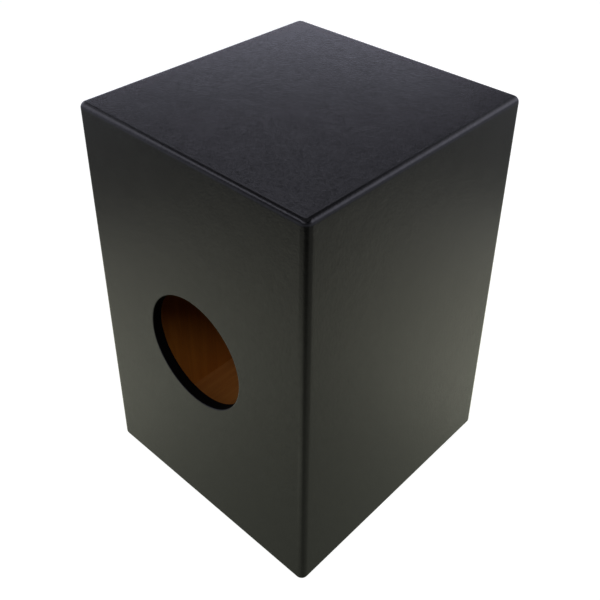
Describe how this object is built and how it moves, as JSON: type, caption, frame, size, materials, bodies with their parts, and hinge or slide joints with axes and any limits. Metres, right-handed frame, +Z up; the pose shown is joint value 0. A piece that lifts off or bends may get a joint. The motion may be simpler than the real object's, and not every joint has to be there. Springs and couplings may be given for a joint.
{
  "type": "cajon box drum",
  "caption": "Seated box drum with a thin striking plate, a round rear sound hole, key-tuned snare strings inside and rubber feet.",
  "frame": {"origin": "on the floor, under the middle of the box", "axes": "+Z up, striking plate faces -Y, sound hole faces +Y, +X to the right of someone looking at the striking plate"},
  "size_m": [0.3, 0.31, 0.46],
  "materials": {
    "body_lacquer": "satin black textured lacquer over wood panels, fine pebbled grain on the seat",
    "plate_lacquer": "satin black lacquer over thin plywood",
    "inner_wood": "bare planed softwood",
    "plate_screw": "black oxide",
    "zinc_hardware": "bright zinc plate",
    "bright_steel": "satin nickel plate",
    "string_wire": "wound steel wire",
    "black_steel": "black oxide",
    "foot_rubber": "matt moulded rubber"
  },
  "bodies": {
    "box": {"base_panel": "body_lacquer", "foot_front_left": "foot_rubber", "foot_front_right": "foot_rubber", "foot_rear_left": "foot_rubber", "foot_rear_right": "foot_rubber", "foot_screw_front_left": "zinc_hardware", "foot_screw_front_right": "zinc_hardware", "foot_screw_rear_left": "zinc_hardware", "foot_screw_rear_right": "zinc_hardware", "foot_washer_front_left": "zinc_hardware", "foot_washer_front_right": "zinc_hardware", "foot_washer_rear_left": "zinc_hardware", "foot_washer_rear_right": "zinc_hardware", "front_batten_bottom": "inner_wood", "front_batten_left": "inner_wood", "front_batten_right": "inner_wood", "front_batten_top": "inner_wood", "front_plate": "plate_lacquer", "guide_pin_left": "bright_steel", "guide_pin_right": "bright_steel", "plate_screw_01": "plate_screw", "plate_screw_02": "plate_screw", "plate_screw_03": "plate_screw", "plate_screw_04": "plate_screw", "plate_screw_05": "plate_screw", "plate_screw_06": "plate_screw", "plate_screw_07": "plate_screw", "plate_screw_08": "plate_screw", "plate_screw_09": "plate_screw", "plate_screw_10": "plate_screw", "plate_screw_11": "plate_screw", "plate_screw_12": "plate_screw", "plate_screw_13": "plate_screw", "plate_screw_14": "plate_screw", "rail_screw_left": "zinc_hardware", "rail_screw_middle": "zinc_hardware", "rail_screw_right": "zinc_hardware", "rear_batten_bottom": "inner_wood", "rear_batten_left": "inner_wood", "rear_batten_right": "inner_wood", "rear_batten_top": "inner_wood", "rear_panel": "body_lacquer", "seat_panel": "body_lacquer", "side_panel_left": "body_lacquer", "side_panel_right": "body_lacquer", "snare_string_1": "string_wire", "snare_string_2": "string_wire", "snare_string_3": "string_wire", "snare_string_4": "string_wire", "string_rail": "bright_steel", "tuning_washer_left": "zinc_hardware", "tuning_washer_right": "zinc_hardware"},
    "tuner_left": {"tuning_screw_left": "black_steel", "retaining_clip_left": "black_steel"},
    "tuner_right": {"tuning_screw_right": "black_steel", "retaining_clip_right": "black_steel"},
    "carrier_left": {"string_carrier_left": "bright_steel"},
    "carrier_right": {"string_carrier_right": "bright_steel"}
  },
  "joints": [
    {"name": "tuning_turn_left", "type": "hinge", "parent": "box", "child": "tuner_left", "pos_m": [-0.06, -0.1437, 0.0159], "axis": [0, 0, 1], "range_deg": [-1441, 1081]},
    {"name": "carrier_travel_left", "type": "slide", "parent": "box", "child": "carrier_left", "axis": [0, 0, 1], "range_m": [-0.0024, 0.0032], "deforming": ["snare_string_1", "snare_string_2"]},
    {"name": "tuning_turn_right", "type": "hinge", "parent": "box", "child": "tuner_right", "pos_m": [0.06, -0.1437, 0.0159], "axis": [0, 0, 1], "range_deg": [-1441, 1081]},
    {"name": "carrier_travel_right", "type": "slide", "parent": "box", "child": "carrier_right", "axis": [0, 0, 1], "range_m": [-0.0024, 0.0032], "deforming": ["snare_string_3", "snare_string_4"]}
  ],
  "couplings": [
    {"joint": "tuning_turn_left", "follows": "carrier_travel_left", "rad_per_m": -7854},
    {"joint": "tuning_turn_right", "follows": "carrier_travel_right", "rad_per_m": -7854}
  ]
}
